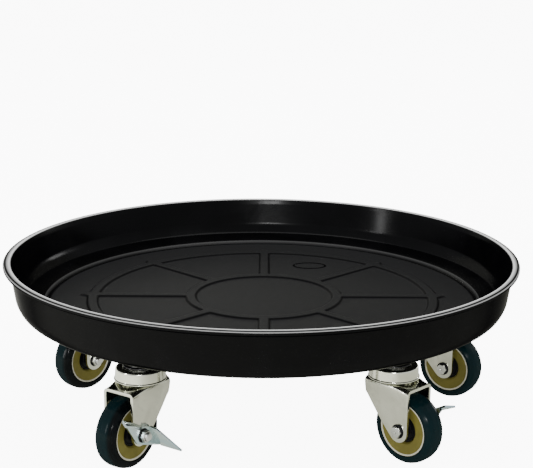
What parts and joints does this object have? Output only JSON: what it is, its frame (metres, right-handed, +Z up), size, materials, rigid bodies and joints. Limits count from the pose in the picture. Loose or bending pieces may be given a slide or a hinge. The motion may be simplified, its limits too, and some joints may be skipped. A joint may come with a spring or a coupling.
{
  "type": "plant pot caddy",
  "caption": "round black moulded plant tray with a ribbed floor on small swivel casters with rubber wheels and foot brakes",
  "frame": {"origin": "on the ground under the middle of the tray", "axes": "+Z up; -Y towards the front, between the two front casters; +X to the right"},
  "size_m": [0.38, 0.38, 0.118],
  "materials": {
    "tray": "glossy black moulding",
    "bright_steel": "bright zinc-plated pressed steel",
    "zinc_steel": "zinc-plated fasteners",
    "tyre": "smooth dark blue-green rubber",
    "wheel_core": "satin olive moulding",
    "bush": "black bearing bush",
    "brake_lever": "blue-white zinc plating"
  },
  "bodies": {
    "root": {"tray": "tray", "stem_front_left": "zinc_steel", "lock_nut_front_left": "zinc_steel", "upper_race_front_left": "zinc_steel", "stem_front_right": "zinc_steel", "lock_nut_front_right": "zinc_steel", "upper_race_front_right": "zinc_steel", "stem_right": "zinc_steel", "lock_nut_right": "zinc_steel", "upper_race_right": "zinc_steel", "stem_back": "zinc_steel", "lock_nut_back": "zinc_steel", "upper_race_back": "zinc_steel", "stem_left": "zinc_steel", "lock_nut_left": "zinc_steel", "upper_race_left": "zinc_steel"},
    "swivel_front_left": {"dome_front_left": "bright_steel", "ball_ring_front_left": "zinc_steel", "fork_front_left": "bright_steel", "axle_front_left": "zinc_steel", "axle_nut_front_left": "zinc_steel"},
    "wheel_front_left": {"tyre_front_left": "tyre", "core_front_left": "wheel_core", "bush_front_left": "bush"},
    "brake_front_left": {"brake_lever_front_left": "brake_lever"},
    "swivel_front_right": {"dome_front_right": "bright_steel", "ball_ring_front_right": "zinc_steel", "fork_front_right": "bright_steel", "axle_front_right": "zinc_steel", "axle_nut_front_right": "zinc_steel"},
    "wheel_front_right": {"tyre_front_right": "tyre", "core_front_right": "wheel_core", "bush_front_right": "bush"},
    "brake_front_right": {"brake_lever_front_right": "brake_lever"},
    "swivel_right": {"dome_right": "bright_steel", "ball_ring_right": "zinc_steel", "fork_right": "bright_steel", "axle_right": "zinc_steel", "axle_nut_right": "zinc_steel"},
    "wheel_right": {"tyre_right": "tyre", "core_right": "wheel_core", "bush_right": "bush"},
    "swivel_back": {"dome_back": "bright_steel", "ball_ring_back": "zinc_steel", "fork_back": "bright_steel", "axle_back": "zinc_steel", "axle_nut_back": "zinc_steel"},
    "wheel_back": {"tyre_back": "tyre", "core_back": "wheel_core", "bush_back": "bush"},
    "swivel_left": {"dome_left": "bright_steel", "ball_ring_left": "zinc_steel", "fork_left": "bright_steel", "axle_left": "zinc_steel", "axle_nut_left": "zinc_steel"},
    "wheel_left": {"tyre_left": "tyre", "core_left": "wheel_core", "bush_left": "bush"}
  },
  "joints": [
    {"name": "swivel_front_left_turn", "type": "hinge", "parent": "root", "child": "swivel_front_left", "pos_m": [-0.08279, -0.1079, 0.058], "axis": [0, 0, 1], "continuous": true},
    {"name": "wheel_front_left_roll", "type": "hinge", "parent": "swivel_front_left", "child": "wheel_front_left", "pos_m": [-0.0914, -0.12018, 0.025], "axis": [0.8192, -0.5736, 0], "continuous": true},
    {"name": "brake_front_left_rock", "type": "hinge", "parent": "swivel_front_left", "child": "brake_front_left", "pos_m": [-0.0914, -0.12018, 0.025], "axis": [0.8192, -0.5736, 0], "range_deg": [0, 25]},
    {"name": "swivel_front_right_turn", "type": "hinge", "parent": "root", "child": "swivel_front_right", "pos_m": [0.08922, -0.10264, 0.058], "axis": [0, 0, 1], "continuous": true},
    {"name": "wheel_front_right_roll", "type": "hinge", "parent": "swivel_front_right", "child": "wheel_front_right", "pos_m": [0.09983, -0.11325, 0.025], "axis": [0.7071, 0.7071, 0], "continuous": true},
    {"name": "brake_front_right_rock", "type": "hinge", "parent": "swivel_front_right", "child": "brake_front_right", "pos_m": [0.09983, -0.11325, 0.025], "axis": [0.7071, 0.7071, 0], "range_deg": [0, 25]},
    {"name": "swivel_right_turn", "type": "hinge", "parent": "root", "child": "swivel_right", "pos_m": [0.13433, 0.02128, 0.058], "axis": [0, 0, 1], "continuous": true},
    {"name": "wheel_right_roll", "type": "hinge", "parent": "swivel_right", "child": "wheel_right", "pos_m": [0.14631, 0.01225, 0.025], "axis": [0.6018, 0.7986, 0], "continuous": true},
    {"name": "swivel_back_turn", "type": "hinge", "parent": "root", "child": "swivel_back", "pos_m": [0, 0.136, 0.058], "axis": [0, 0, 1], "continuous": true},
    {"name": "wheel_back_roll", "type": "hinge", "parent": "swivel_back", "child": "wheel_back", "pos_m": [-0.0026, 0.15077, 0.025], "axis": [-0.9848, -0.1736, 0], "continuous": true},
    {"name": "swivel_left_turn", "type": "hinge", "parent": "root", "child": "swivel_left", "pos_m": [-0.13006, 0.03976, 0.058], "axis": [0, 0, 1], "continuous": true},
    {"name": "wheel_left_roll", "type": "hinge", "parent": "swivel_left", "child": "wheel_left", "pos_m": [-0.14009, 0.02862, 0.025], "axis": [0.7431, -0.6691, 0], "continuous": true}
  ]
}
